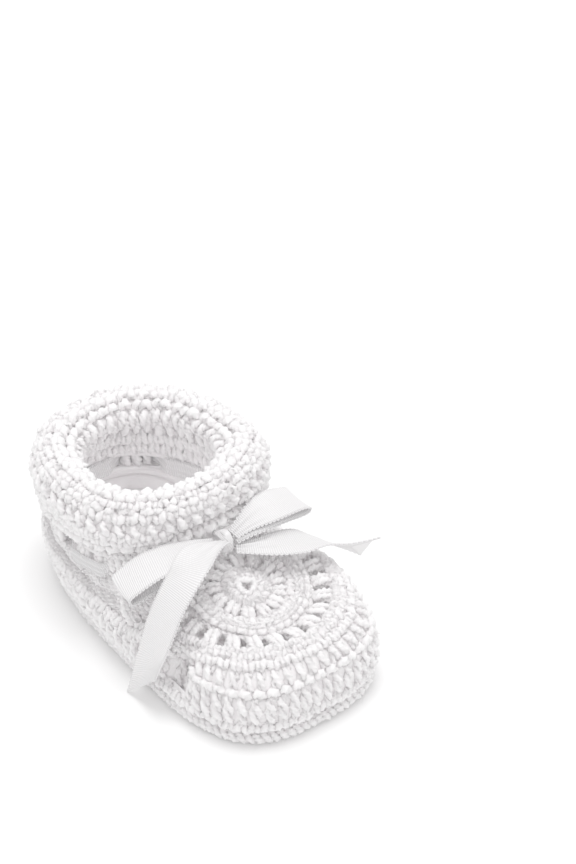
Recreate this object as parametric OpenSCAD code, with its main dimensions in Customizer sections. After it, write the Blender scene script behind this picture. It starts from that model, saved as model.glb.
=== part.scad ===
// Crocheted baby bootie with a folded cuff and a satin ribbon tied in a bow.
// Toe towards -Y, +Z up. The origin is the centre of the sole's underside.

/* [Sole] */
// Length of the sole
sole_l = 98; // [85:1:115]
// Width of the sole at its middle
sole_w = 52.5; // [46:0.5:60]
// How much narrower the heel is than the toe
heel_taper = 0.16; // [0:0.01:0.25]
// Squareness of the sole's outline
sole_p = 3.2; // [2:0.1:4]
// Thickness of the sole
sole_t = 3.2; // [2:0.1:5]

/* [Upper] */
// Thickness of the crocheted fabric
fabric_t = 2.8; // [2:0.1:4]
// Height of the toe at the edge of its medallion
toe_h = 23; // [20:0.5:26]
// Distance of the toe's medallion from the middle of the sole
medallion_y = 18; // [14:0.5:22]
// Radius of the medallion's outer round
medallion_r = 23; // [21:0.5:24]

/* [Cuff] */
// Height of the cuff's crest at the front
crest_front_h = 47.5; // [46:0.5:54]
// Height of the cuff's crest at the heel
crest_back_h = 42; // [40:0.5:48]
// Half width of the foot opening
throat_w = 17; // [15:0.5:18]

/* [Ribbon] */
// Width of the ribbon where it lies flat
ribbon_w = 10; // [8:0.5:11]
// Thickness of the ribbon
ribbon_t = 0.7; // [0.6:0.1:1]
// Height of the knot's centre
knot_h = 33.6; // [33:0.1:35]

/* [Hidden] */

yarn = [0.95, 0.94, 0.94];
satin = [0.98, 0.97, 0.98];

// Points round each closed loop, and the part of a loop that passes behind the toe cap
steps = 72;
turn = 360 / steps;
cap_first = 190; // the toe cap runs from this angle
cap_last = 350; // to this one
rear_steps = (360 - cap_last + cap_first) / turn;
front_steps = steps - rear_steps;

// The sole's edge chain: how far it reaches in under the wall and out past the sole, and its height
chain_in = 2.4;
chain_out = 0.6;
chain_h = 4.2;

// The loops that divide the side wall into its rounds, as growth and height at toe and heel
rim_loop = [-0.4, chain_h, -0.4, chain_h];
base_loop = [1.2, 8, 2.2, 7.2];
post_loop = [0.4, 15.4, 3.2, 12.4];
heel_h = 15.4; // height of the shoulder behind the toe

// The toe's medallion, whose face is tilted
medallion = [0, -medallion_y];
medallion_tilt = 12;
medallion_h = 24.6;
plate_t = 3;
ridge_r = 15.6;
ridge_in_r = 12.8;
ridge_h = 1.2;
ridge_side = 15; // the ridge ends this far before the medallion's sides
hub_r = 4.2;
hub_h = 0.8;
eye_r = 1.1;

// Slits between the stitches, as their number, distance from the centre, length and width
spoke_slits = [13, 8.6, 4.4, 0.9];
outer_slits = [15, 19.4, 4.6, 1.1];

// The eyelet round, from below its middle to above it
eyelets = 12;
eyelet_w = 5.6;
eyelet_h = 4.6;
eyelet_low = -2.6;
eyelet_high = 3.2;

// The cuff's scalloped edge: how far it hangs, its scallops' depth and their number
edge_h = 1.4;
scallop_h = 0.9;
scallops = 15;

// The threaded ribbon is gathered to this width and weaves this far out and in
band_w = 3.8;
band_out = 2.1;

knot = [0, -8.6, knot_h];
knot_r = 2.6;

// The bow's ways: where the ribbon's centre runs, then its width's direction and share
left_loop = [
    [-2.9, -9, 34.2, 0, 1, 0, 0.34], [-8, -9.2, 36, 0, 1, 0, 0.62], [-15, -8.8, 36.8, 0, 1, 0, 0.9],
    [-22, -6.6, 35, 0.1, 1, 0, 1], [-27.2, -4.2, 31, 0.2, 1, 0, 1], [-28.6, -3.6, 29, 0.2, 1, 0, 1],
    [-26.8, -4.2, 28, 0.2, 1, 0, 1], [-21, -6.8, 31.2, 0.1, 1, 0, 0.9], [-13, -9.4, 34, 0, 1, 0, 0.7],
    [-7, -9.4, 33.8, 0, 1, 0, 0.5], [-2.9, -9, 32.8, 0, 1, 0, 0.34]
];
right_loop = [
    [2.9, -8.8, 34.2, 0, 1, 0, 0.34], [7, -8.8, 36, 0, 1, 0.3, 0.5], [12, -8.8, 37.2, 0, 1, 0.3, 0.8],
    [17.4, -8.6, 37, 0, 1, 0.1, 1], [22.4, -8.4, 35.8, 0, 1, 0, 1], [24.6, -8.4, 34.6, 0, 1, 0, 1],
    [22.8, -8.4, 33.6, 0, 1, 0, 1], [17, -8.8, 34.2, 0, 1, 0, 0.9], [11, -9.2, 34.2, 0, 1, 0, 0.7],
    [7, -9.2, 33.8, 0, 1, 0, 0.5], [2.9, -9, 32.8, 0, 1, 0, 0.34]
];
left_tail = [
    [-2, -11.4, 36, 0.5, -1, 0.4, 0.3], [-7, -13, 38.8, 0.4, -1, 0.2, 0.6],
    [-13, -14.8, 39.6, 0.2, -1, 0, 0.9], [-19, -17.4, 37.4, 0, -1, 0, 1], [-24, -18, 31.8, 0, -1, 0, 1],
    [-27.6, -17.6, 23.6, 0, -1, 0, 1], [-30, -16.6, 15, -0.15, -1, 0, 1],
    [-31.6, -15.2, 6.4, -0.25, -1, -0.1, 1]
];
right_tail = [
    [2.2, -11, 31.6, 0.6, 1, 0, 0.3], [6, -13.6, 31.8, 0.6, 1, 0, 0.55], [11, -16.2, 31.8, 0.6, 1, 0, 0.85],
    [17, -18.2, 31, 0.5, 1, -0.1, 1], [22.4, -19.8, 29.2, 0.3, 0.8, -0.4, 0.85],
    [27.6, -21.6, 26.6, 0, 0.7, -0.5, 0.85], [33.6, -23.4, 24, -0.2, 0.5, -0.8, 1]
];

function power(v, e) = sign(v) * pow(abs(v), e);
function smooth(a, b, v) = let (u = min(1, max(0, (v - a) / (b - a)))) u * u * (3 - 2 * u);
function mix(a, b, u) = a * (1 - u) + b * u;
function flat_unit(v) = let (w = [v[0], v[1]]) w / norm(w);

// The sole's outline at polar angle t, grown by out
function outline(t, out = 0) =
    let (
        a = sole_w / 2 + out,
        b = sole_l / 2 + out,
        r = pow(pow(abs(cos(t)) / a, sole_p) + pow(abs(sin(t)) / b, sole_p), -1 / sole_p),
        y = r * sin(t)
    )
    [r * cos(t) * (1 - heel_taper * (2 * y / sole_l + 0.2)), y];

// A loop round the side wall: its growth and height at the toe and at the heel
function wall(t, toe_out, toe_z, heel_out, heel_z) =
    let (
        w = smooth(5, -20, outline(t)[1]),
        p = outline(t, mix(heel_out, toe_out, w))
    )
    [p[0], p[1], mix(heel_z, toe_z, w)];

// The loop where the side wall meets the medallion and the ankle
function shoulder(t, inner = 0) =
    let (
        o = outline(t, 1),
        w = smooth(-2, -20, o[1]),
        a = medallion + (medallion_r - 0.3 * inner) * flat_unit(o - medallion),
        b = outline(t, 3 * smooth(0, 30, o[1]) - inner),
        p = mix(b, a, w)
    )
    [p[0], p[1], mix(heel_h, toe_h - inner, w)];

// A point of the medallion's tilted plane, down from its face
function on_medallion(r, phi, down = 0) =
    let (y = r * sin(phi))
    [r * cos(phi), y * cos(medallion_tilt) - medallion_y + down * sin(medallion_tilt),
     medallion_h + y * sin(medallion_tilt) - down * cos(medallion_tilt)];

// An oval round the ankle, which rises towards the front by the given power
function ankle(t, w, front, back, y0, z_front, z_back, p = 2.3, rise = 1) =
    let (
        s = power(sin(t), 2 / p),
        y = y0 + (s > 0 ? back - y0 : y0 - front) * s
    )
    [w * power(cos(t), 2 / p), y, z_back + (z_front - z_back) * pow((back - y) / (back - front), rise)];

function eyelet_mid(t, out = 0, up = 0) =
    ankle(t, 23 + out, -4 - out, 49.5 + out, 14, 31.5 + up, 19.4 + up, 2.4, 2);

// The angle and the ankle's base at step i: round the heel on the shoulder, then over the instep
function step_angle(i) = cap_last - 360 + turn * i;
function base(i, inner = 0) =
    i <= rear_steps ? shoulder(step_angle(i), inner) :
    let (
        u = (i - rear_steps) / front_steps,
        left = shoulder(cap_first, inner),
        right = shoulder(cap_last, inner),
        phi = 180 - ridge_side - 2 * (90 - ridge_side) * (u - 0.25) / 0.5,
        start = on_medallion(ridge_in_r, 180 - ridge_side, inner),
        stop = on_medallion(ridge_in_r, ridge_side, inner)
    )
    u < 0.25 ? mix(left, start, u / 0.25) :
    u > 0.75 ? mix(stop, right, (u - 0.75) / 0.25) :
    on_medallion(ridge_in_r, phi, inner);

// A solid through rows of section points, closed into a ring or capped at both ends
module loft(rows, ring = true) {
    n = len(rows);
    m = len(rows[0]);
    points = [for (row = rows) each row];
    sides = [
        for (i = [0 : ring ? n - 1 : n - 2], j = [0 : m - 1])
            let (a = i * m, b = (i + 1) % n * m, k = (j + 1) % m)
            each [[a + j, a + k, b + k], [a + j, b + k, b + j]]
    ];
    caps = ring ? [] : [[for (j = [m - 1 : -1 : 0]) j], [for (j = [0 : m - 1]) (n - 1) * m + j]];
    polyhedron(points, concat(sides, caps), convexity = 10);
}

module sole() {
    color(yarn) linear_extrude(sole_t)
        polygon([for (i = [0 : steps - 1]) outline(turn * i, -chain_in)]);
}

module sole_edge_chain() {
    section = [
        [-chain_in, 0], [-chain_in, chain_h], [-0.4, chain_h], [chain_out, 3], [chain_out, 1.2], [-0.4, 0]
    ];
    color(yarn) loft([
        for (i = [0 : steps - 1])
            [for (s = section) let (p = outline(turn * i, s[0])) [p[0], p[1], s[1]]]
    ]);
}

function wall_loop(t, l, inner = 0) = wall(t, l[0] - inner, l[1], l[2] - inner, l[3]);

module wall_round(low, high) {
    color(yarn) loft([
        for (i = [0 : steps - 1])
            let (t = turn * i)
            [wall_loop(t, low), wall_loop(t, low, fabric_t),
             wall_loop(t, high, fabric_t), wall_loop(t, high)]
    ]);
}

module side_wall_base_round() wall_round(rim_loop, base_loop);
module side_wall_lower_round() wall_round(base_loop, post_loop);

module side_wall_upper_round() {
    color(yarn) loft([
        for (i = [0 : steps - 1])
            let (t = turn * i, low = mix(wall_loop(t, post_loop), shoulder(t), 0.55))
            [wall_loop(t, post_loop), wall_loop(t, post_loop, fabric_t), shoulder(t, fabric_t), shoulder(t),
             low + 1.2 * smooth(0, -20, low[1]) * [flat_unit(low)[0], flat_unit(low)[1], 1]]
    ]);
}

// The medallion's parts share its tilted plane
module in_medallion() {
    translate([0, -medallion_y, medallion_h]) rotate([medallion_tilt, 0, 0]) children();
}

module radial_slits(slits, first, last) {
    for (i = [0 : slits[0] - 1])
        rotate(first + (last - first) * (i + 0.5) / slits[0])
            translate([slits[1], 0, -plate_t]) cube([slits[2], slits[3], 3 * plate_t], center = true);
}

module toe_outer_round() {
    color(yarn) difference() {
        loft([
            for (t = [cap_first : turn : cap_last])
                let (
                    edge = shoulder(t),
                    d = flat_unit([edge[0], edge[1] + medallion_y]),
                    phi = atan2(d[1], d[0])
                )
                [edge, shoulder(t, fabric_t), on_medallion(ridge_r, phi, plate_t), on_medallion(ridge_r, phi)]
        ], false);
        in_medallion() radial_slits(outer_slits, cap_first, cap_last);
    }
}

module toe_ridge_ring() {
    ridge = [
        [ridge_in_r, -plate_t], [ridge_r, -plate_t], [ridge_r, 0.2], [ridge_r - 0.8, ridge_h],
        [ridge_in_r + 0.8, ridge_h], [ridge_in_r, 0.2]
    ];
    color(yarn) in_medallion()
        rotate([0, 0, 180 - ridge_side])
            rotate_extrude(angle = 180 + 2 * ridge_side, $fn = 96) polygon(ridge);
}

module toe_spoke_round() {
    color(yarn) in_medallion() difference() {
        translate([0, 0, -plate_t]) cylinder(h = plate_t, r = ridge_in_r, $fn = 96);
        translate([0, 0, -2 * plate_t]) cylinder(h = 3 * plate_t, r = hub_r, $fn = 48);
        radial_slits(spoke_slits, 0, 360);
    }
}

module toe_center_ring() {
    color(yarn) in_medallion() rotate_extrude($fn = 48)
        polygon([[eye_r, -plate_t], [hub_r, -plate_t], [hub_r, 0.2], [hub_r - 0.8, hub_h],
            [eye_r + 0.6, hub_h], [eye_r, 0]]);
}

// The wall between the ankle's base and the eyelets, from step a to step b
module ankle_wall(a, b) {
    color(yarn) loft([
        for (i = [a : b])
            let (t = step_angle(i), o = fabric_t / 2)
            [base(i), base(i, fabric_t), eyelet_mid(t, -o, eyelet_low), eyelet_mid(t, o, eyelet_low)]
    ], false);
}

module heel_wall() ankle_wall(0, rear_steps);
module instep_strip() ankle_wall(rear_steps, steps);

module eyelet_round() {
    color(yarn) difference() {
        loft([
            for (i = [0 : steps - 1])
                let (t = turn * i, o = fabric_t / 2)
                [eyelet_mid(t, o, eyelet_low), eyelet_mid(t, -o, eyelet_low),
                 eyelet_mid(t, -o, eyelet_high), eyelet_mid(t, o, eyelet_high)]
        ]);
        for (i = [0 : eyelets - 1])
            let (t = eyelet_angle(i), p = eyelet_mid(t), q = eyelet_mid(t + 1), e = q - p)
            translate(p) rotate([0, 0, atan2(e[1], e[0])])
                cube([eyelet_w, 4 * fabric_t, eyelet_h], center = true);
    }
}

// Eyelets stand at even angles, half a space either side of the knot
function eyelet_angle(i) = -90 + 360 / eyelets * (i + 0.5);

// Sections of the cuff, from its inner foot over the throat and the crest to the outer edge.
// Each has its half width, its front and back, the place of its full width, and its heights.
function cuff(t, name) =
    let (w = throat_w, front = crest_front_h, back = crest_back_h)
    name == "foot_out" ? eyelet_mid(t, fabric_t / 2, eyelet_high) :
    name == "foot_in" ? eyelet_mid(t, -fabric_t / 2, eyelet_high) :
    name == "throat" ? ankle(t, w, 4.6, 42.2, 20, 43, 37, 2.1) :
    name == "crest_in" ? ankle(t, w + 1.6, 2.8, 44.2, 19, front - 1.8, back - 1.8, 2.2) :
    name == "crest" ? ankle(t, w + 4.8, 0, 47.5, 18, front, back) :
    name == "crest_out" ? ankle(t, 26, -4, 52.5, 18, front - 2.6, back - 2.6) :
    name == "bulge" ? ankle(t, 28, -5.4, 54.5, 17, front - 6.6, back - 7.4) :
    name == "edge_out" ? ankle(t, 27, -5, 53, 16, 37.4, 26.6) :
    name == "edge_in" ? ankle(t, 24, -3, 50.6, 16, 37.4, 26.6) :
    ankle(t, 23, -1.6, 49.4, 17, 41, 33);

function edge_drop(t, p) = p - [0, 0, edge_h + scallop_h * abs(sin(scallops * t / 2))];

module cuff_band(names) {
    color(yarn) loft([for (i = [0 : steps - 1]) [for (n = names) cuff(turn * i, n)]]);
}

module cuff_lining() cuff_band(["foot_out", "foot_in", "throat", "crest_in", "crest", "core"]);
module cuff_fold() cuff_band(["core", "crest", "crest_out", "bulge", "edge_out", "edge_in"]);

module cuff_scallop_edge() {
    color(yarn) loft([
        for (i = [0 : 2 * steps - 1])
            let (t = turn * i / 2, a = cuff(t, "edge_out"), b = cuff(t, "edge_in"))
            [a, edge_drop(t, a), edge_drop(t, b), b]
    ]);
}

// A smooth way through a list of points
function catmull(p, u) =
    let (
        n = len(p) - 1,
        i = min(n - 1, floor(u * n)),
        f = u * n - i,
        a = p[max(0, i - 1)], b = p[i], c = p[i + 1], d = p[min(n, i + 2)]
    )
    0.5 * (2 * b + (c - a) * f + (2 * a - 5 * b + 4 * c - d) * f * f + (3 * b - a - 3 * c + d) * f * f * f);

// Each point holds the centre, the width's direction and the width's share
module strip(points, count = 28) {
    rows = [for (i = [0 : count]) catmull(points, i / count)];
    function centre(i) = [rows[i][0], rows[i][1], rows[i][2]];
    color(satin) loft([
        for (i = [0 : count])
            let (
                c = centre(i),
                along = centre(min(count, i + 1)) - centre(max(0, i - 1)),
                raw = [rows[i][3], rows[i][4], rows[i][5]],
                out = cross(raw, along),
                n = out / norm(out) * ribbon_t / 2,
                w = raw / norm(raw) * ribbon_w / 2 * rows[i][6]
            )
            [c - w - n, c - w + n, c + w + n, c + w - n]
    ], false);
}

module bow_loop_left() strip(left_loop, 40);
module bow_loop_right() strip(right_loop, 40);
module bow_tail_left() strip(left_tail);
module bow_tail_right() strip(right_tail);

module bow_knot() color(satin) translate(knot) sphere(r = knot_r, $fn = 48);

// The threaded ribbon goes in at one eyelet and out at the next
function weave(t) = band_out * min(1, max(-1, 1.9 * sin(eyelets / 2 * (t - eyelet_angle(0)))));

module ribbon_band() {
    first = eyelet_angle(0) + 4;
    last = eyelet_angle(eyelets - 1) - 4;
    color(satin) loft([
        for (t = [first : 2 : last])
            let (o = weave(t), h = ribbon_t / 2, w = band_w / 2)
            [eyelet_mid(t, o + h, -w), eyelet_mid(t, o - h, -w),
             eyelet_mid(t, o - h, w), eyelet_mid(t, o + h, w)]
    ], false);
}

sole();
sole_edge_chain();
side_wall_base_round();
side_wall_lower_round();
side_wall_upper_round();
toe_outer_round();
toe_ridge_ring();
toe_spoke_round();
toe_center_ring();
instep_strip();
heel_wall();
eyelet_round();
cuff_lining();
cuff_fold();
cuff_scallop_edge();
ribbon_band();
bow_knot();
bow_loop_left();
bow_loop_right();
bow_tail_left();
bow_tail_right();
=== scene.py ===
"""A crocheted baby bootie with a satin ribbon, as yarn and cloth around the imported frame.

Sizes are in millimetres until mesh() turns them into metres. Toe towards -Y, +Z up.
"""

import math

import bpy
import numpy as np
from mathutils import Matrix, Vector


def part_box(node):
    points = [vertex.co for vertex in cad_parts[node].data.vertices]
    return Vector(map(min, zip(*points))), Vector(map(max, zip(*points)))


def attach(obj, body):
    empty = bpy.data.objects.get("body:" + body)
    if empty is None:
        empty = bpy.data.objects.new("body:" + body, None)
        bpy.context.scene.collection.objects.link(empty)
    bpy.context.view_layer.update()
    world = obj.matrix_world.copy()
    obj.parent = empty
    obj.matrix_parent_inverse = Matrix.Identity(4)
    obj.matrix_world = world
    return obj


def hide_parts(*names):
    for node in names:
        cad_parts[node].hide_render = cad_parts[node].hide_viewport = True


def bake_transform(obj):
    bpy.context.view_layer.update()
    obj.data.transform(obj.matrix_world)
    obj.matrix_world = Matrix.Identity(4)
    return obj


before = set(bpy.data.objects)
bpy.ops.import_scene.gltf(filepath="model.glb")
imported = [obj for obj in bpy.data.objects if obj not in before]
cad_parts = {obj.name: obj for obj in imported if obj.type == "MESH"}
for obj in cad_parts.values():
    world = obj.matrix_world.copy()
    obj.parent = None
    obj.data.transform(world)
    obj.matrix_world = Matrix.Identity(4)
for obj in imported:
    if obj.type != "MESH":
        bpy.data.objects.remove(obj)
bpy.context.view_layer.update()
rng = np.random.default_rng(11)
MM = 0.001

# ---------------------------------------------------------------- camera, floor and light

AZIMUTH, ELEVATION = math.radians(-38.4), math.radians(39.0)
DISTANCE = 1.15
LENS = 187
# The camera looks at a point this high, then moved right and up in the view, in metres
AIM_HEIGHT, AIM_RIGHT, AIM_UP = 0.020, 0.0217, 0.0338


def make_camera():
    back = np.array([
        math.sin(AZIMUTH) * math.cos(ELEVATION),
        -math.cos(AZIMUTH) * math.cos(ELEVATION),
        math.sin(ELEVATION),
    ])
    right = np.array([math.cos(AZIMUTH), math.sin(AZIMUTH), 0])
    up = np.cross(back, right)
    aim = np.array([0, 0, AIM_HEIGHT]) + AIM_RIGHT * right + AIM_UP * up
    camera = bpy.data.objects.new("camera", bpy.data.cameras.new("camera"))
    camera.data.lens = LENS
    camera.location = aim + DISTANCE * back
    camera.rotation_euler = (math.pi / 2 - ELEVATION, 0, AZIMUTH)
    bpy.context.scene.collection.objects.link(camera)
    bpy.context.scene.camera = camera


def area_light(name, place, size, power):
    lamp = bpy.data.lights.new(name, "AREA")
    lamp.size, lamp.energy = size, power
    light = bpy.data.objects.new(name, lamp)
    light.location = place
    aim = np.array([0, 0, 0.02]) - np.array(place)
    light.rotation_euler = (
        math.atan2(math.hypot(aim[0], aim[1]), -aim[2]), 0, math.atan2(-aim[0], aim[1])
    )
    bpy.context.scene.collection.objects.link(light)


def make_studio():
    world = bpy.data.worlds.new("studio")
    world.use_nodes = True
    sky = world.node_tree.nodes["Background"].inputs
    sky["Color"].default_value, sky["Strength"].default_value = (1, 0.995, 0.99, 1), 0.74
    scene = bpy.context.scene
    scene.world = world
    scene.view_settings.view_transform, scene.view_settings.gamma = "Standard", 2.1
    area_light("key", (0.03, 0.04, 1.00), 0.45, 7.0)
    area_light("front", (-0.10, -0.90, 0.55), 0.60, 0.5)
    # A small lamp stands in for the light that the open fabric lets through to the inside
    inside = bpy.data.objects.new("inside", bpy.data.lights.new("inside", "POINT"))
    inside.data.energy, inside.data.shadow_soft_size = 0.004, 0.010
    inside.location = (0, 0.022, 0.026)
    inside.visible_camera = False
    scene.collection.objects.link(inside)
    bpy.ops.mesh.primitive_plane_add(size=6, location=(0, 0, 0))
    floor = bpy.context.object
    floor.name = "floor"
    floor.data.materials.append(plain_material("floor_white", (0.86, 0.86, 0.86), 0.9))


# ---------------------------------------------------------------- materials


def shader_of(material):
    return material.node_tree.nodes["Principled BSDF"]


def set_values(material, values):
    for name, value in values.items():
        shader_of(material).inputs[name].default_value = value


def plain_material(name, colour, roughness):
    material = bpy.data.materials.new(name)
    material.use_nodes = True
    set_values(material, {"Base Color": (*colour, 1), "Roughness": roughness})
    return material


def add(material, kind, **values):
    node = material.node_tree.nodes.new(kind)
    for name, value in values.items():
        if name in node.inputs:
            node.inputs[name].default_value = value
        else:
            setattr(node, name, value)
    return node


def link(material, source, target):
    material.node_tree.links.new(source, target)


def colour_between(material, factor, dark, light):
    """The base colour, from dark to light with the factor."""
    ramp = add(material, "ShaderNodeValToRGB")
    ramp.color_ramp.elements[0].position, ramp.color_ramp.elements[1].position = 0.3, 0.7
    ramp.color_ramp.elements[0].color = (*dark, 1)
    ramp.color_ramp.elements[1].color = (*light, 1)
    link(material, factor, ramp.inputs["Fac"])
    link(material, ramp.outputs["Color"], shader_of(material).inputs["Base Color"])


def add_bump(material, height, strength, distance):
    bump = add(material, "ShaderNodeBump", Strength=strength, Distance=distance)
    link(material, height, bump.inputs["Height"])
    link(material, bump.outputs["Normal"], shader_of(material).inputs["Normal"])


def yarn_material(name, dark, light):
    """Soft matt yarn: cloudy colour, a fuzzy sheen and fine fibres."""
    material = plain_material(name, light, 0.88)
    set_values(material, {
        "Sheen Weight": 0.2, "Sheen Roughness": 0.5, "Specular IOR Level": 0.25,
        "Subsurface Weight": 0.75, "Subsurface Scale": 0.0028,
        "Subsurface Radius": (0.92, 1.0, 0.96),
    })
    place = add(material, "ShaderNodeTexCoord")
    cloud = add(material, "ShaderNodeTexNoise", Scale=420.0, Detail=3.0)
    link(material, place.outputs["Object"], cloud.inputs["Vector"])
    colour_between(material, cloud.outputs["Fac"], dark, light)
    fibre = add(material, "ShaderNodeTexNoise", Scale=2600.0, Detail=4.0, Distortion=1.5)
    link(material, place.outputs["Object"], fibre.inputs["Vector"])
    add_bump(material, fibre.outputs["Fac"], 0.6, 0.0003)
    return material


def satin_material(name):
    """White satin ribbon with fine rib lines across it: a bump, and painted shade that darkens the
    grooves between the lines.
    """
    material = plain_material(name, (0.9, 0.89, 0.9), 0.3)
    set_values(material, {"Anisotropic": 0.5, "Sheen Weight": 0.05})
    place = add(material, "ShaderNodeUVMap")
    rib_relief_and_shade = add(material, "ShaderNodeTexWave", Scale=RIB_SCALE, Distortion=0.3, bands_direction="Y")
    link(material, place.outputs["UV"], rib_relief_and_shade.inputs["Vector"])
    # Painted shade: the colour follows the rib waves, darker where the bump is low.
    colour_between(material, rib_relief_and_shade.outputs["Fac"], (0.60, 0.585, 0.595), (0.78, 0.765, 0.775))
    add_bump(material, rib_relief_and_shade.outputs["Fac"], 0.8, 0.0002)
    return material


# A wave texture makes one band in 0.314 of its space, and the ribs are 0.55 mm apart
RIB_SCALE = 0.314 / 0.00055

YARN = yarn_material("crochet_yarn", (0.935, 0.885, 0.902), (0.970, 0.944, 0.952))
SOLE_YARN = yarn_material("sole_yarn", (0.92, 0.86, 0.88), (0.955, 0.92, 0.93))
SATIN = satin_material("satin_ribbon")

# ---------------------------------------------------------------- sizes


def corners(node):
    low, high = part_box(node)
    return np.array(low) / MM, np.array(high) / MM


EDGE_OUT = 0.6  # the edge chain stands this far out of the sole
edge_low, edge_high = corners("sole_edge_chain")
knot_low, knot_high = corners("bow_knot")
SOLE_L = edge_high[1] - edge_low[1] - 2 * EDGE_OUT
# HEEL_TAPER narrows the heel, and a higher SOLE_P makes the oval squarer
SOLE_W, HEEL_TAPER, SOLE_P = 52.5, 0.16, 3.2
HEEL_H = 15.4  # height of the side wall round the heel
SOLE_TOP = corners("sole")[1][2]
CREST_FRONT = corners("cuff_fold")[1][2]
CREST_BACK = CREST_FRONT - 5.5
KNOT = (knot_low + knot_high) / 2
THROAT_W = 17
TOE_H, TOE_R = 23.0, 23.0  # height and radius of the toe's upper edge
MEDALLION = np.array([0.0, -18.0])
MEDALLION_H, MEDALLION_TILT = 24.6, math.radians(12)
RIDGE_R, RIDGE_IN_R, HUB_R = 15.6, 12.8, 4.2
CAP_FIRST, CAP_LAST = math.radians(190), math.radians(350)  # the toe's share of the outline
RIDGE_FIRST, RIDGE_LAST = 165, 375  # the ridge's two ends, in degrees round the medallion
EYELETS = 12
OPEN_EYELET = 8  # this one stays open above the ribbon
TURN = 2 * math.pi

# ---------------------------------------------------------------- shape of the bootie


def smooth(a, b, v):
    u = np.clip((v - a) / (b - a), 0, 1)
    return u * u * (3 - 2 * u)


def mix(a, b, u):
    return a * (1 - u) + b * u


def patch(s, v, along, up, soft_s, soft_v):
    """1 inside a patch of the cloth and 0 outside it."""
    inside = smooth(along[0] - soft_s, along[0], s) * (1 - smooth(along[1], along[1] + soft_s, s))
    return inside * smooth(up[0] - soft_v, up[0], v) * (1 - smooth(up[1], up[1] + soft_v, v))


def unit(v):
    return v / np.maximum(np.linalg.norm(v, axis=-1, keepdims=True), 1e-9)


def power(v, e):
    return np.sign(v) * np.abs(v) ** e


def point(xy, z):
    return np.concatenate([xy, np.broadcast_to(z, xy.shape[:-1])[..., None]], -1)


def outline(t, out=0.0):
    """The sole's outline, moved out."""
    a, b = SOLE_W / 2 + out, SOLE_L / 2 + out
    r = (np.abs(np.cos(t) / a) ** SOLE_P + np.abs(np.sin(t) / b) ** SOLE_P) ** (-1 / SOLE_P)
    y = r * np.sin(t)
    return np.stack([r * np.cos(t) * (1 - HEEL_TAPER * (2 * y / SOLE_L + 0.2)), y], -1)


def wall(t, toe_out, toe_z, heel_out, heel_z):
    """A line round the side wall, whose place and height change from the toe to the heel."""
    w = smooth(5, -20, outline(t)[..., 1])
    return point(outline(t, mix(heel_out, toe_out, w)), mix(heel_z, toe_z, w))


def shoulder(t):
    """The side wall's upper edge: round the medallion in front, and along the sole behind."""
    o = outline(t, 1)
    w = smooth(-2, -20, o[..., 1])
    a = MEDALLION + TOE_R * unit(o - MEDALLION)
    b = outline(t, 3 * smooth(0, 30, o[..., 1]))
    return point(mix(b, a, w[..., None]), mix(HEEL_H, TOE_H, w))


def on_medallion(r, phi, down=0.0):
    """A point on the tilted medallion, or under it."""
    y = r * np.sin(phi)
    tilt_c, tilt_s = math.cos(MEDALLION_TILT), math.sin(MEDALLION_TILT)
    return np.stack([
        r * np.cos(phi),
        y * tilt_c + MEDALLION[1] + down * tilt_s,
        MEDALLION_H + y * tilt_s - down * tilt_c,
    ], -1)


def ankle(t, w, front, back, y0, z_front, z_back, p=2.3, rise=1):
    """A loop round the ankle: half width, its ends and widest place along Y, its two heights."""
    s = power(np.sin(t), 2 / p)
    y = y0 + np.where(s > 0, back - y0, y0 - front) * s
    z = z_back + (z_front - z_back) * np.clip((back - y) / (back - front), 0, 1) ** rise
    return np.stack([w * power(np.cos(t), 2 / p), y, z], -1)


def eyelet_mid(t, out=0.0, up=0.0):
    """The line that the ribbon is threaded along."""
    return ankle(t, 23 + out, -4 - out, 49.5 + out, 14, 31.5 + up, 19.4 + up, 2.4, 2)


def eyelet_angle(i):
    """Where eyelet i is, round the ankle."""
    return -TURN / 4 + TURN / EYELETS * (i + 0.5)


def cuff(t, name):
    """A loop of the folded cuff's section, by name."""
    front, back = CREST_FRONT, CREST_BACK
    if name == "foot_in":
        return eyelet_mid(t, -1.4, 3.2)
    sizes = {
        "throat": (THROAT_W, 4.6, 42.2, 20, 43, 37, 2.1),
        "crest_in": (THROAT_W + 1.6, 2.8, 44.2, 19, front - 1.8, back - 1.8, 2.2),
        "crest": (THROAT_W + 4.8, 0, 47.5, 18, front, back),
        "crest_out": (26, -4, 52.5, 18, front - 2.6, back - 2.6),
        "bulge": (28, -5.4, 54.5, 17, front - 6.6, back - 7.4),
        "edge_out": (27, -5, 53, 16, 37.4, 26.6),
        "edge_in": (24, -3, 50.6, 16, 37.4, 26.6),
    }
    return ankle(t, *sizes[name])


# ---------------------------------------------------------------- cloth that stitches lie on


def catmull(points, fine):
    """More points along the first axis, on a smooth curve through the given ones."""
    points = np.asarray(points, float)
    n = len(points) - 1
    x = np.linspace(0, n, n * fine + 1)
    i = np.minimum(x.astype(int), n - 1)
    f = (x - i).reshape((-1,) + (1,) * (points.ndim - 1))
    a, b, c, d = (points[np.clip(i + k, 0, n)] for k in (-1, 0, 1, 2))
    return 0.5 * (
        2 * b + (c - a) * f + (2 * a - 5 * b + 4 * c - d) * f**2 + (3 * b - a - 3 * c + d) * f**3
    )


def arc(points):
    """Length along a line of points."""
    steps = np.linalg.norm(np.diff(points, axis=0), axis=-1)
    return np.concatenate([[0], np.cumsum(steps)])


def spread(points, places, wanted):
    """Points read at other places along the first axis."""
    flat = points.reshape(len(points), -1)
    read = np.stack([np.interp(wanted, places, flat[:, k]) for k in range(flat.shape[1])], -1)
    return read.reshape((len(wanted),) + points.shape[1:])


PLACES, LEVELS = 481, 49  # the points that a cloth is kept at, along and up


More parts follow.
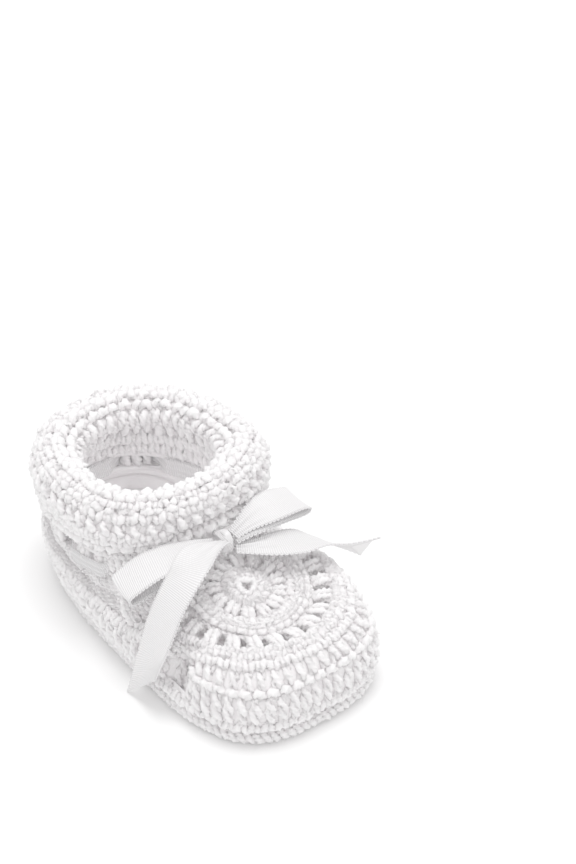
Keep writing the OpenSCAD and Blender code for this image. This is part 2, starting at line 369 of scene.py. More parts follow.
class Cloth:
    """A band through loops of points, read at (share along, share up, mm out of its face)."""

    def __init__(self, loops, closed=True, face=1, waves=0.25):
        loops = np.array(loops, float)
        if closed:
            loops = np.concatenate([loops, loops[:, :1]], 1)
        rows = catmull(loops, 8)
        along = arc(rows[len(rows) // 2])
        self.length = along[-1]
        places = np.swapaxes(rows, 0, 1)
        places = spread(places, along, np.linspace(0, self.length, PLACES))
        rows = np.swapaxes(places, 0, 1)
        rise = self.mean_rise(rows)
        self.height = rise[-1]
        self.grid = spread(rows, rise, np.linspace(0, self.height, LEVELS))
        along_face = np.gradient(self.grid, axis=1)
        if closed:
            ends = (self.grid[:, 1] - self.grid[:, -2]) / 2
            along_face[:, 0] = along_face[:, -1] = ends
        self.normal = face * unit(np.cross(along_face, np.gradient(self.grid, axis=0)))
        self.closed = closed
        self.waves = waves

    @staticmethod
    def mean_rise(rows):
        steps = np.linalg.norm(np.diff(rows, axis=0), axis=-1).mean(1)
        return np.concatenate([[0], np.cumsum(steps)])

    def press(self, depth):
        """Moves the cloth out or in by a function of the shares along and up."""
        v, s = np.meshgrid(np.linspace(0, 1, LEVELS), np.linspace(0, 1, PLACES), indexing="ij")
        self.grid = self.grid + self.normal * depth(s, v)[..., None]

    def dent(self, centre, radii, depth):
        """Pushes the cloth in round a place."""
        away = (((self.grid - centre) / radii) ** 2).sum(-1)
        self.grid = self.grid - self.normal * depth * np.exp(-away)[..., None]

    def at(self, s, v, out=0.0):
        """Points and normals, with the soft waves that worn fabric has."""
        s, v, out = np.broadcast_arrays(s, v, out)
        s = np.mod(s, 1.0) if self.closed else np.clip(s, 0, 1)
        rows, places = self.grid.shape[:2]
        x, y = s * (places - 1), v * (rows - 1)
        i = np.clip(x.astype(int), 0, places - 2)
        j = np.clip(y.astype(int), 0, rows - 2)
        f, g = (x - i)[..., None], (y - j)[..., None]

        def read(values):
            low = values[j, i] * (1 - f) + values[j, i + 1] * f
            high = values[j + 1, i] * (1 - f) + values[j + 1, i + 1] * f
            return low * (1 - g) + high * g

        normal = unit(read(self.normal))
        turns = TURN * s
        swell = np.sin(5 * turns + 7 * v) + np.sin(11 * turns - 4 * v + 2) + np.sin(17 * turns + 1)
        return read(self.grid) + normal * (out + self.waves * swell / 3)[..., None], normal


# ---------------------------------------------------------------- yarn and mesh

SIDES, PLIES, PLY_DEPTH = 9, 3, 0.20
PLY_TWIST = TURN / 3.8  # a ply goes once round the yarn in 3.8 mm
SINK = 0.8  # stitches sit this deep in the cloth
FELT_STEP, ROPE_STEP = 1.2, 0.55  # how fine the backing and the ropes are
REST = 0.05  # the stitches that the bootie stands on are pressed flat at this height


def tubes(paths, normals, radii, closed=False, sides=SIDES, depth=PLY_DEPTH):
    """Plied yarn along a batch of paths with the same number of points."""
    count, length = paths.shape[:2]
    if closed:
        along = np.roll(paths, -1, 1) - np.roll(paths, 1, 1)
    else:
        along = np.gradient(paths, axis=1)
    along = unit(along)
    across = unit(np.cross(along, normals))
    up = np.cross(across, along)
    steps = np.linalg.norm(np.diff(paths, axis=1), axis=-1)
    run = np.concatenate([np.zeros((count, 1)), np.cumsum(steps, 1)], 1)
    k = np.arange(sides)
    twist, start = PLY_TWIST, rng.uniform(0, TURN, (count, 1, 1))
    if closed:
        # A whole number of turns, so that the yarn's two ends meet
        turns = np.round(run[:, -1:] * twist / TURN) / (run[:, -1:] * length / (length - 1))
        twist, start = turns * TURN, 0
    angle = TURN * k / sides + (run * twist)[..., None] + start
    radius = np.broadcast_to(radii, (count, length))[..., None] * (
        1 + depth * np.cos(PLIES * TURN * k / sides)
    )
    out = across[:, :, None] * np.cos(angle)[..., None] + up[:, :, None] * np.sin(angle)[..., None]
    points = (paths[:, :, None] + out * radius[..., None]).reshape(-1, 3)
    last = length if closed else length - 1
    c, m, s = np.meshgrid(np.arange(count), np.arange(last), k, indexing="ij")
    base, step = (c * length + m) * sides, (c * length + (m + 1) % length) * sides
    quads = np.stack([base + s, base + (s + 1) % sides, step + (s + 1) % sides, step + s], -1)
    faces = [quads.reshape(-1, 4)]
    if not closed:
        first = np.arange(count)[:, None] * length * sides + k
        faces += [first[:, ::-1], first + (length - 1) * sides]
    return {"points": points, "faces": faces, "out": out.reshape(-1, 3)}


def loft(rows, ring=True):
    """A closed skin through rows of section points. One that isn't a ring gets capped ends."""
    rows = np.asarray(rows)
    n, m = rows.shape[:2]
    i, j = np.meshgrid(np.arange(n if ring else n - 1), np.arange(m), indexing="ij")
    a, b, k = i * m, (i + 1) % n * m, (j + 1) % m
    faces = [np.stack([a + j, a + k, b + k, b + j], -1).reshape(-1, 4)]
    if not ring:
        first = np.arange(m)[None]
        faces += [first[:, ::-1], first + (n - 1) * m]
    return {"points": rows.reshape(-1, 3), "faces": faces}


def backing(cloth, outer=-0.6, inner=-2.2, first=0.0, last=1.0, low=0.0, high=1.0):
    """The thin felted layer behind the stitches."""
    full = cloth.closed and last - first >= 1
    steps = max(8, int(cloth.length * (last - first) / FELT_STEP))
    s = first + (last - first) * np.arange(steps if full else steps + 1) / steps
    v = np.linspace(low, high, max(3, int(cloth.height * (high - low) / FELT_STEP)))
    up = np.concatenate([v, v[::-1]])
    out = np.concatenate([np.full(len(v), outer), np.full(len(v), inner)])
    return loft(cloth.at(s[:, None], up[None], out[None])[0], ring=full)


def stitch(shape, fine=5):
    """A stitch's yarn: (across, up, out, radius) at points on a smooth curve."""
    return catmull(shape, fine)


def row(cloth, shape, count, low, high, first=0.0, last=1.0, keep=None, wobble=0.05, lean=0.0,
        swell=None):
    """Repeats a stitch along a row of the cloth, no two quite the same.

    keep picks stitches by their place, lean slants them and swell raises them.
    """
    pitch = (last - first) / count
    s = first + (np.arange(count) + 0.5) * pitch
    if keep is not None:
        s = s[keep(cloth.at(s, (low + high) / 2)[0])]
    across, up, out, radius = shape.T
    n = len(s)
    shift = rng.normal(0, wobble, (n, 1))
    place = s[:, None] + (across + shift + lean * (up - 0.5)) * pitch
    level = low + (high - low) * (up + rng.normal(0, wobble / 2, (n, 1)))
    grown = 1 + rng.normal(0, 0.05, (n, 1))
    out = out - SINK + rng.normal(0, 0.12, (n, 1))
    if swell is not None:
        out = out + swell(place, level)
    points, normals = cloth.at(place, level, out)
    return tubes(points, normals, radius * grown)


def fuzz(parts, count):
    """Stray fibres standing off the yarn."""
    yarn = [p for p in parts if "out" in p]
    points = np.concatenate([p["points"] for p in yarn])
    outs = np.concatenate([p["out"] for p in yarn])
    pick = rng.integers(0, len(points), count)
    u = np.linspace(0, 1, 5)[None, :, None]
    side = unit(rng.normal(0, 1, (count, 3)))
    curl = unit(rng.normal(0, 1, (count, 3)))
    size = rng.uniform(0.4, 1, (count, 1, 1))
    paths = points[pick][:, None] + size * (
        0.55 * u * outs[pick][:, None] + 0.8 * u * side[:, None] + 0.7 * u**2 * curl[:, None]
    )
    thin = 0.06 * (1 - 0.7 * u[..., 0])
    return tubes(paths, unit(rng.normal(0, 1, paths.shape)), thin, sides=3, depth=0)


LUMP_WAYS = unit(rng.normal(0, 1, (8, 3)))
LUMP_PHASES = rng.uniform(0, TURN, 8)


LUMP_DEPTH, LUMP_WAVE = 0.13, 1.5


def lumps(parts):
    """Moves the yarn's skin in and out a little, as hand-spun yarn is uneven."""
    for p in parts:
        if "out" in p:
            swell = np.sin(p["points"] @ LUMP_WAYS.T * TURN / LUMP_WAVE + LUMP_PHASES).sum(1) / 2.5
            p["points"] = p["points"] + p["out"] * (LUMP_DEPTH * swell)[:, None]
    return parts


def mesh(name, parts, material, uv=None):
    """One object from parts in millimetres."""
    points = np.concatenate([p["points"] for p in parts]) * MM
    points[:, 2] = np.maximum(points[:, 2], REST * MM)
    loops, totals, base = [], [], 0
    for p in parts:
        for faces in p["faces"]:
            loops.append((faces + base).ravel())
            totals.append(np.full(len(faces), faces.shape[1]))
        base += len(p["points"])
    loops, totals = np.concatenate(loops), np.concatenate(totals)
    data = bpy.data.meshes.new(name)
    data.vertices.add(len(points))
    data.vertices.foreach_set("co", points.astype(np.float32).ravel())
    data.loops.add(len(loops))
    data.loops.foreach_set("vertex_index", loops.astype(np.int32))
    data.polygons.add(len(totals))
    starts = np.concatenate([[0], np.cumsum(totals)[:-1]])
    data.polygons.foreach_set("loop_start", starts.astype(np.int32))
    data.polygons.foreach_set("loop_total", totals.astype(np.int32))
    data.polygons.foreach_set("use_smooth", np.full(len(totals), True))
    if uv is not None:
        layer = data.uv_layers.new(name="UVMap")
        layer.data.foreach_set("uv", uv[loops].astype(np.float32).ravel())
    data.update(calc_edges=True)
    data.validate()
    data.materials.append(material)
    made = bpy.data.objects.new(name, data)
    bpy.context.scene.collection.objects.link(made)
    return made


def yarn_piece(name, node, parts, fibres):
    """Yarn parts as one piece that stands for a CAD node."""
    parts = lumps(parts)
    made = mesh(name, parts + [fuzz(parts, fibres)], YARN)
    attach(made, "root")
    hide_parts(node)


# ---------------------------------------------------------------- stitches

# Each line is (across, up, out, radius): shares of the stitch's width and height, then mm
V_LEFT = stitch([
    (0.02, -0.1, -0.5, 0.5), (-0.04, 0.12, 0.2, 0.8), (-0.2, 0.5, 0.75, 0.95),
    (-0.36, 0.85, 0.45, 0.85), (-0.42, 1.1, -0.4, 0.5),
])
V_RIGHT = V_LEFT * (-1, 1, 1, 1) + (0.04, 0, 0, 0)
LINK = stitch([
    (-0.62, 0.5, -0.5, 0.5), (-0.35, 0.72, 0.15, 0.7), (0.05, 0.86, 0.5, 0.75),
    (0.42, 0.78, 0.35, 0.75), (0.6, 0.5, 0.0, 0.7), (0.42, 0.22, 0.35, 0.75),
    (0.05, 0.14, 0.5, 0.75), (-0.35, 0.28, 0.15, 0.7), (-0.62, 0.5, -0.5, 0.5),
], 3)
BUMP = stitch([
    (-0.5, 0.3, -0.5, 0.6), (-0.28, 0.62, 0.4, 0.95), (0, 0.75, 0.8, 1.1),
    (0.28, 0.55, 0.4, 0.95), (0.5, 0.2, -0.5, 0.6),
])
ARCH = stitch([
    (-0.4, -0.05, -0.4, 0.6), (-0.33, 0.4, 0.45, 0.95), (-0.16, 0.86, 0.7, 1.05),
    (0.16, 0.86, 0.7, 1.05), (0.33, 0.4, 0.45, 0.95), (0.4, -0.05, -0.4, 0.6),
])


def strand(side, turns, radius):
    """One of a post's two strands, which wind round each other on the way up."""
    up = np.linspace(-0.06, 1.06, 17)
    angle = TURN * (turns * up + side / 2)
    bulge = np.sin(np.clip(up, 0, 1) * math.pi)
    out = 0.2 + 0.35 * bulge + 0.42 * np.sin(angle)
    return np.stack([0.17 * np.cos(angle), up, out, radius * (0.62 + 0.38 * bulge**0.5)], -1)


def posts(cloth, count, low, high, turns=1.0, radius=0.85, **how):
    return [row(cloth, strand(side, turns, radius), count, low, high, **how) for side in (0, 1)]


def v_row(cloth, count, low, high, **how):
    return [row(cloth, shape, count, low, high, **how) for shape in (V_LEFT, V_RIGHT)]


def rope(cloth, v, pitch, offset, radius, out=0.0):
    """Two strands wound round each other along the cloth."""
    turns = round(cloth.length / pitch)
    n = int(cloth.length / ROPE_STEP)
    s = np.arange(n) / (n if cloth.closed else n - 1)
    parts = []
    for side in (0, 1):
        angle = TURN * (turns * s + side / 2)
        level = v + offset * np.cos(angle) / cloth.height
        points, normals = cloth.at(s, level, out + offset * np.sin(angle))
        radii = np.full((1, n), radius)
        parts.append(tubes(points[None], normals[None], radii, closed=cloth.closed))
    return parts


# ---------------------------------------------------------------- the sole and the side wall

SOLE_ROUNDS, SOLE_STITCH = 8, 4.2
WALL_STITCHES = 78
TOE_END = -14  # the toe's extra rounds stop here
t_round = np.linspace(0, TURN, 361)[:-1]


def in_toe(points):
    return points[..., 1] < TOE_END


def in_heel(points):
    return points[..., 1] >= TOE_END


def sole_rounds(level, face):
    """The sole as an oval spiral: rounds from its rim to the line along its middle."""
    rim = outline(t_round, -1.4)
    spine = np.stack([0 * rim[:, 0], rim[:, 1] * 0.58], -1)
    loops = [point(mix(rim, spine, share), level) for share in (0, 0.25, 0.5, 0.75, 0.97)]
    return Cloth(loops, face=face, waves=0.0)


def sole_stitches(cloth):
    """Rounds of stitches of one width, so that the rounds near the middle have fewer."""
    parts = []
    for i in range(SOLE_ROUNDS):
        low, high = i / SOLE_ROUNDS, (i + 1) / SOLE_ROUNDS
        middle = cloth.grid[int((LEVELS - 1) * (low + high) / 2)]
        parts += v_row(cloth, int(arc(middle)[-1] / SOLE_STITCH), low, high, wobble=0.03)
    return parts


def make_sole():
    under, inside = sole_rounds(1.3, -1), sole_rounds(SOLE_TOP, 1)
    parts = [backing(inside, -0.3, -1.4)] + sole_stitches(under)
    below = mesh("sole_underside", parts + [fuzz(parts, 400)], SOLE_YARN)
    above = mesh("insole", sole_stitches(inside), SOLE_YARN)
    for made in (below, above):
        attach(made, "root")
        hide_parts("sole")


# The side wall's seams, from the rim up, as the arguments of wall()
RIM, BASE, POST = (-0.4, 4.2, -0.4, 4.2), (1.2, 8, 2.2, 7.2), (0.4, HEEL_H, 3.2, 12.4)
# The soft toe is pushed in here behind the hanging tail: place, reach along X, Y and Z, depth
TOE_POCKET = ((-26.5, -23, 14.5), (9, 4.5, 8), 6)


def make_edge_chain():
    cloth = Cloth([wall(t_round, -1, 0.6, -1, 0.6), wall(t_round, *RIM)], waves=0.0)
    yarn_piece(
        "edge_chain", "sole_edge_chain",
        [backing(cloth, -0.6, -1.8)] + rope(cloth, 0.45, 4.2, 0.75, 1.0), 600,
    )


def make_side_wall():
    base = Cloth([wall(t_round, *RIM), wall(t_round, *BASE)])
    yarn_piece(
        "base_round", "side_wall_base_round",
        [backing(base)] + v_row(base, WALL_STITCHES, 0.0, 0.95), 900,
    )
    lower = Cloth([wall(t_round, *BASE), wall(t_round, *POST)])
    lower.dent(*TOE_POCKET)
    yarn_piece(
        "lower_round", "side_wall_lower_round",
        [backing(lower)] + posts(lower, WALL_STITCHES, 0.02, 0.98), 900,
    )
    low, high = wall(t_round, *POST), shoulder(t_round)
    middle = mix(low, high, 0.55)
    # The toe bulges between its two edges
    push = 1.2 * smooth(0, -20, middle[:, 1:2])
    middle = middle + push * np.concatenate([unit(middle[:, :2]), np.ones_like(push)], 1)
    upper = Cloth([low, middle, high])
    upper.dent(*TOE_POCKET)
    yarn_piece(
        "upper_round", "side_wall_upper_round",
        [backing(upper)]
        + [row(upper, BUMP, 84, 0.0, 0.2, keep=in_toe)]
        + posts(upper, WALL_STITCHES, 0.18, 0.6, 0.5, keep=in_toe)
        + v_row(upper, WALL_STITCHES, 0.58, 0.8, keep=in_toe)
        + v_row(upper, WALL_STITCHES, 0.78, 1.0, keep=in_toe)
        + v_row(upper, WALL_STITCHES, 0.0, 1.0, keep=in_heel), 1000,
    )


# ---------------------------------------------------------------- the toe's medallion


def ring_cloth(outer, inner, first, last, down=0.0, waves=0.1):
    """A ring or part of one on the medallion, between two radii."""
    phi = np.linspace(first, last, 121)
    closed = last - first >= TURN - 0.001
    if closed:
        phi = phi[:-1]
    loops = [on_medallion(r, phi, d) for r, d in zip((outer, inner), np.broadcast_to(down, 2))]
    return Cloth(loops, closed=closed, waves=waves)


SLITS, SPOKES = 15, 13  # slits in the outer round, and round the hub


def fan(cloth, count, low, high, radius, gap=0.13):
    """Pairs of posts with a slit between one pair and the next."""
    parts = []
    for i in range(count):
        first, last = (i + gap) / count, (i + 1 - gap) / count
        parts += posts(cloth, 2, low, high, 0.5, radius=radius, first=first, last=last)
        parts.append(backing(cloth, -0.9, -2.0, first, last, low, high))
    return parts


def make_toe():
    t = np.linspace(CAP_FIRST, CAP_LAST, 121)
    edge = shoulder(t)
    way = unit(edge[:, :2] - MEDALLION)
    phi = np.arctan2(way[:, 1], way[:, 0])
    outer = Cloth([edge, on_medallion(RIDGE_R, phi)], closed=False, waves=0.1)
    yarn_piece(
        "toe_outer", "toe_outer_round",
        [backing(outer, -1.1, -2.2, high=0.16), backing(outer, -1.3, -2.2, low=0.86)]
        + v_row(outer, 3 * SLITS, -0.1, 0.12)
        + fan(outer, SLITS, 0.08, 0.84, 0.95, 0.2)
        + rope(outer, 0.9, 3.4, 0.45, 0.6, -0.7), 1400,
    )
    ridge = ring_cloth(RIDGE_R, RIDGE_IN_R, *np.radians((RIDGE_FIRST, RIDGE_LAST)), -1.2)
    yarn_piece(
        "toe_ridge", "toe_ridge_ring",
        [backing(ridge, -0.2, -2.4)]
        + [row(ridge, LINK * (1, 1, 1, 1.05), 22, -0.1, 0.75)]
        + rope(ridge, 0.85, 3.0, 0.4, 0.6, -0.5), 600,
    )
    spokes = ring_cloth(RIDGE_IN_R, HUB_R, 0, TURN, waves=0.15)
    yarn_piece(
        "toe_spokes", "toe_spoke_round",
        [backing(spokes, -1.2, -2.2, high=0.3), backing(spokes, -1.2, -2.2, low=0.7)]
        + v_row(spokes, 2 * SPOKES, -0.08, 0.28, wobble=0.1)
        + fan(spokes, SPOKES, 0.2, 0.78, 0.95, 0.15)
        + v_row(spokes, 2 * SPOKES, 0.7, 1.05, wobble=0.1), 1000,
    )
    hub = ring_cloth(HUB_R, 1.0, 0, TURN, waves=0.0)
    phi = np.linspace(0, TURN, 61)[:-1]
    # The hole in the middle, pulled into a soft triangle by its stitches
    eye = on_medallion(2.3 + 0.3 * np.cos(3 * phi), phi, -0.1)
    facing = np.broadcast_to(on_medallion(0.0, 0.0, -1.0) - on_medallion(0.0, 0.0), eye.shape)
    yarn_piece(
        "toe_center", "toe_center_ring",
        [tubes(eye[None], facing[None], np.full((1, 60), 1.0), closed=True)]
        + v_row(hub, 9, -0.3, 0.6, wobble=0.1), 300,
    )


# ---------------------------------------------------------------- the ankle


def ankle_base(rear):
    """The line that the ankle stands on: the shoulder at the rear, the medallion in front."""
    if rear:
        t = np.linspace(CAP_LAST - TURN, CAP_FIRST, 161)
        return t, shoulder(t)
    t = np.linspace(CAP_FIRST, CAP_LAST, 97)
    left, right = shoulder(np.array([CAP_FIRST, CAP_LAST]))
    top = on_medallion(RIDGE_IN_R, np.radians(np.linspace(RIDGE_FIRST, RIDGE_LAST - 360, 49)))
    share = np.linspace(0, 1, 24, endpoint=False)[:, None]
    return t, np.concatenate([mix(left, top[0], share), top, mix(top[-1], right, share + 1 / 24)])


def make_ankle():
    t, low = ankle_base(True)
    heel = Cloth([low, eyelet_mid(t, 0.6, -2.6)], closed=False)
    yarn_piece(
        "heel_yarn", "heel_wall",
        [backing(heel)] + v_row(heel, 52, -0.05, 0.5) + v_row(heel, 52, 0.46, 1.0), 700,
    )
    t, low = ankle_base(False)
    strip = Cloth([low, eyelet_mid(t, 0.6, -2.6)], closed=False)
    yarn_piece(
        "instep_yarn", "instep_strip",
        [backing(strip)] + v_row(strip, 28, 0.0, 0.5) + v_row(strip, 28, 0.45, 1.0), 500,
    )


def make_eyelets():
    """Groups of posts between two ropes. The ribbon passes behind each group."""
    cloth = Cloth([eyelet_mid(t_round, 0.5, -2.9), eyelet_mid(t_round, 0.5, 3.4)])
    spots = eyelet_mid(eyelet_angle(np.arange(EYELETS) + 0.5), 0.5)
    middle = cloth.grid[LEVELS // 2]
    parts = rope(cloth, 0.04, 3.6, 0.45, 0.75) + rope(cloth, 0.96, 3.6, 0.45, 0.75)
    parts += [backing(cloth, high=0.15), backing(cloth, low=0.8)]
    for i, spot in enumerate(spots):
        s = np.argmin(np.linalg.norm(middle - spot, axis=1)) / (PLACES - 1)
        # A group of posts in front of the ribbon, or one on each side of the open eyelet
        half, shift = (2.8, 4.8) if i == OPEN_EYELET else (4.4, 0)
        for way in (-1, 1) if shift else (0,):
            first, last = (s + (way * shift + side * half) / cloth.length for side in (-1, 1))
            parts += posts(cloth, 3, 0.0, 1.0, 0.5, radius=1.05, first=first, last=last)
    yarn_piece("eyelet_yarn", "eyelet_round", parts, 700)


# ---------------------------------------------------------------- the cuff


LOBES = 26
FLAP, FLAP_DEPTH = ((0.715, 0.83), (-0.1, 0.3)), 1.7  # the fold is tucked in here, over the bow


def scallops(low):
    """Broad soft lobes along the crest, 1 mm high."""
    def swell(s, v):
        band = smooth(low - 0.15, low, v) * (1 - smooth(1, 1.15, v))
        return band * np.abs(np.sin(TURN / 2 * LOBES * s))
    return swell


def make_cuff():
    names = ("foot_in", "throat", "crest_in", "crest")
    lining = Cloth([cuff(t_round, n) for n in names], face=-1)
    lobes = scallops(0.75)
    yarn_piece(
        "cuff_inner", "cuff_lining",
        [backing(lining)]
        + posts(lining, 38, 0.42, 0.82, radius=1.0, lean=0.5)
        + [row(lining, BUMP, 44, 0.78, 0.9, swell=lobes, wobble=0.12)]
        + [row(lining, BUMP, 48, 0.88, 1.02, swell=lobes, wobble=0.12)]
        + v_row(lining, 44, 0.2, 0.44)
        + v_row(lining, 44, -0.05, 0.2), 1500,
    )
    names = ("edge_out", "bulge", "crest_out", "crest")
    fold = Cloth([cuff(t_round, n) for n in names])
    fold.press(lambda s, v: -FLAP_DEPTH * patch(s, v, *FLAP, 0.012, 0.05))
    lobes = scallops(0.7)
    yarn_piece(
        "cuff_outer", "cuff_fold",
        [backing(fold)]
        + v_row(fold, 56, 0.0, 0.17)
        + v_row(fold, 54, 0.15, 0.32)
        + posts(fold, 46, 0.3, 0.56, 0.5, radius=1.0)
        + v_row(fold, 54, 0.54, 0.7, swell=lobes, wobble=0.1)
        + [row(fold, BUMP, 54, 0.66, 0.78, swell=lobes, wobble=0.12)]
        + v_row(fold, 54, 0.76, 0.9, swell=lobes, wobble=0.1)
        + [row(fold, BUMP, 50, 0.88, 1.02, swell=lobes, wobble=0.12)], 2200,
    )
    edge = Cloth([cuff(t_round, "edge_in"), cuff(t_round, "edge_out") - (0, 0, 1.2)], face=-1)
    yarn_piece(
        "cuff_edge", "cuff_scallop_edge",
        [backing(edge, -0.2, -1.2)] + [row(edge, ARCH, 48, 0.1, 1.15)], 400,
    )


# ---------------------------------------------------------------- the ribbon

RIBBON_W, RIBBON_T = 10.0, 0.5
KNOT_R = 2.5
BAND_W, BAND_OUT = 5.0, 2.1  # where it is threaded: its gathered width, and how far it weaves
BAND_NARROWER, BAND_LOWER = 1.6, 1.2  # at the open eyelet
BEAD_PITCH, BEAD_LENGTH, BEAD_OUT, BEAD_R = 1.1, 0.84, 0.28, 0.2  # the beaded edges

# Each line is the ribbon's centre, the way its width runs and the share of its width
LEFT_LOOP = [
    (-2.9, -9, 34.2, 0, 1, 0, 0.34), (-8, -9.2, 36, 0, 1, 0, 0.62), (-15, -8.8, 36.8, 0, 1, 0, 0.9),
    (-22, -6.6, 35, 0.1, 1, 0, 1), (-27.2, -4.2, 31, 0.2, 1, 0, 1), (-28.6, -3.6, 29, 0.2, 1, 0, 1),
    (-26.8, -4.2, 28, 0.2, 1, 0, 1), (-21, -6.8, 31.2, 0.1, 1, 0, 0.9),
    (-13, -9.4, 34, 0, 1, 0, 0.7), (-7, -9.4, 33.8, 0, 1, 0, 0.5), (-2.9, -9, 32.8, 0, 1, 0, 0.34),
]
RIGHT_LOOP = [
    (2.9, -8.8, 34.2, 0, 1, 0, 0.34), (7, -8.8, 36, 0, 1, 0.3, 0.5),
    (12, -8.8, 37.2, 0, 1, 0.3, 0.8), (17.4, -8.6, 37, 0, 1, 0.1, 1), (22.4, -8.4, 35.8, 0, 1, 0, 1),
    (24.6, -8.4, 34.6, 0, 1, 0, 1), (22.8, -8.4, 33.6, 0, 1, 0, 1), (17, -8.8, 34.2, 0, 1, 0, 0.9),
    (11, -9.2, 34.2, 0, 1, 0, 0.7), (7, -9.2, 33.8, 0, 1, 0, 0.5), (2.9, -9, 32.8, 0, 1, 0, 0.34),
]
LEFT_TAIL = [
    (-2, -11.4, 36, 0.5, -1, 0.4, 0.3), (-7, -13, 38.8, 0.4, -1, 0.2, 0.6),
    (-13, -14.8, 39.6, 0.2, -1, 0, 0.9), (-19, -17.4, 37.4, 0, -1, 0, 1),
    (-24, -18, 31.8, 0, -1, 0, 1), (-27.6, -17.6, 23.6, 0, -1, 0, 1),
    (-30, -16.6, 15, -0.15, -1, 0, 1), (-31.6, -15.2, 6.4, -0.25, -1, -0.1, 1),
]
RIGHT_TAIL = [
    (2.2, -11, 31.6, 0.6, 1, 0, 0.3), (6, -13.6, 31.8, 0.6, 1, 0, 0.55),
    (11, -16.2, 31.8, 0.6, 1, 0, 0.85), (17, -18.2, 31, 0.5, 1, -0.1, 1),
    (22.4, -19.8, 29.2, 0.3, 0.8, -0.4, 0.85), (27.6, -21.6, 26.6, 0, 0.7, -0.5, 0.85),
    (33.6, -23.4, 24, -0.2, 0.5, -0.8, 1),
]


def ribbon(name, centre, width_way, width, cut=None, pleats=0.0):
    """A strip of ribbon with its thickness, a soft bow across it and beaded edges."""
    along = unit(np.gradient(centre, axis=0))
    way = unit(width_way - (width_way * along).sum(1, keepdims=True) * along)
    normal = np.cross(way, along)
    run = arc(centre)
    across = np.linspace(-1, 1, 21)
    # The narrower it is drawn, the deeper its pleats
    narrow = 1 - width / RIBBON_W
    wave = np.cos(across[None] * math.pi * 2.5) * narrow[:, None] * pleats
    crown = 0.35 * (1 - across**2)[None] + wave
    shift = np.zeros((len(run), len(across))) if cut is None else cut(across, run)
    base = centre[:, None] + way[:, None] * (across[None] * width[:, None] / 2)[..., None]
    base = base + normal[:, None] * crown[..., None] + along[:, None] * shift[..., None]
    half = normal[:, None] * (RIBBON_T / 2)
    body = loft(np.concatenate([base + half, (base - half)[:, ::-1]], 1), ring=False)
    u = np.concatenate([across, across[::-1]]) * RIBBON_W / 2 * MM
    uv = np.stack(np.broadcast_arrays(u[None], (run * MM)[:, None]), -1).reshape(-1, 2)
    count = int(run[-1] / BEAD_PITCH)
    stops = (np.arange(count) + 0.5) / count * run[-1]
    ways, heading = spread(way, run, stops)[:, None], spread(along, run, stops)[:, None]
    bow = np.linspace(-1, 1, 7)[None, :, None]
    beads = []
    for edge, outward in ((0, -1), (-1, 1)):
        paths = spread(base[:, edge], run, stops)[:, None] + heading * bow * BEAD_LENGTH / 2
        paths = paths + outward * ways * BEAD_OUT * (1 - bow**2)
        radii = np.full((count, 7), BEAD_R)
        beads.append(tubes(paths, ways + 0 * paths, radii, sides=6, depth=0))
    extra = sum(len(b["points"]) for b in beads)
    uv = np.concatenate([uv, np.zeros((extra, 2))])
    return mesh(name, [body] + beads, SATIN, uv=uv), run[-1]


def routed(name, route, **how):
    """A ribbon along one of the routes above."""
    route = catmull(route, 14)
    return ribbon(name, route[:, :3], route[:, 3:6], RIBBON_W * route[:, 6], **how)


def slant_cut(across, run):
    """A slanted end, with a point at one corner."""
    near = smooth(run[-1] - 16, run[-1], run)[:, None]
    return near * (across[None] * -7.0)


def fishtail_cut(across, run):
    """An end with a notch between two points."""
    near = smooth(run[-1] - 10, run[-1], run)[:, None]
    return near * (np.abs(across)[None] * 6 - 3.5)


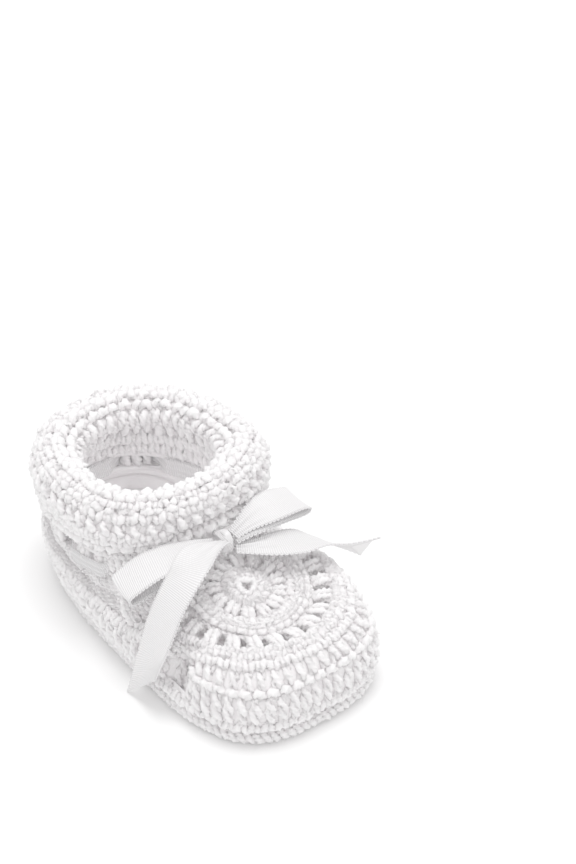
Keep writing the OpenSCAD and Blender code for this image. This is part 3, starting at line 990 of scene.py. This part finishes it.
def make_ribbon():
    t = np.linspace(eyelet_angle(0), eyelet_angle(EYELETS - 1), 420)
    # In front of the fabric at one eyelet and behind it at the next
    weave = np.clip(1.9 * np.sin(EYELETS / 2 * (t - eyelet_angle(0))), -1, 1)
    centre = eyelet_mid(t, BAND_OUT * weave)
    spot = eyelet_angle(OPEN_EYELET + 0.5)
    at_open = patch(t, 0 * t, (spot - 0.16, spot + 0.16), (-1, 1), 0.2, 1)
    centre = centre - BAND_LOWER * at_open[:, None] * np.array([0, 0, 1])
    up = eyelet_mid(t, 0, 1) - eyelet_mid(t, 0, -1)
    width = BAND_W - BAND_NARROWER * at_open
    band, length = ribbon("threaded_ribbon", centre, up, width, pleats=0.5)
    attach(band, "root")
    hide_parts("ribbon_band")
    # The last entry of each line, a blend from one distance along X from the knot's middle to
    # another, is not used.
    bows = [
        ("loop_left", LEFT_LOOP, "bow_loop_left", ("root", "left_loop"), None, (-1.5, -7)),
        ("loop_right", RIGHT_LOOP, "bow_loop_right", ("root", "right_loop"), None, (1.5, 7)),
        ("tail_left", LEFT_TAIL, "bow_tail_left", ("left_loop", "left_tail"), slant_cut, (-1.5, -7)),
        ("tail_right", RIGHT_TAIL, "bow_tail_right", ("root", "right_tail"), fishtail_cut, (1.5, 7)),
    ]
    for name, route, node, bodies, cut, reach in bows:
        made, length = routed(name, route, cut=cut, pleats=0.8)
        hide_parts(node)
        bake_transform(made)


def make_knot():
    """The knot: two narrow turns of ribbon round the roots of the bow, pleated lengthwise."""
    parts = []
    for i, (tilt, lift, half) in enumerate(((0.25, -0.5, 1.2), (-0.5, 0.0, 0.7))):
        across = np.linspace(-1, 1, 12)
        rows = []
        for a in np.linspace(0, TURN, 49)[:-1]:
            ring = []
            for c, out in [(c, 1) for c in across] + [(c, -1) for c in across[::-1]]:
                pleat = 0.22 * math.cos(c * math.pi * 3) + 0.25 * (1 - c * c)
                r = KNOT_R + lift + pleat * (out + 1) / 2 + 0.25 * out
                x = half * c * (1 + 0.2 * math.cos(2 * a))
                ring.append((x, -r * 1.05 * math.cos(a), r * 1.15 * math.sin(a)))
            rows.append(ring)
        rows = np.array(rows)
        turn = np.array([
            [math.cos(tilt), 0, math.sin(tilt)], [0, 1, 0], [-math.sin(tilt), 0, math.cos(tilt)],
        ])
        parts.append(loft(rows @ turn.T + KNOT))
    made = mesh("knot", parts, SATIN)
    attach(made, "root")
    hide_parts("bow_knot")


make_camera()
make_studio()
make_sole()
make_edge_chain()
make_side_wall()
make_toe()
make_ankle()
make_eyelets()
make_cuff()
make_knot()
make_ribbon()
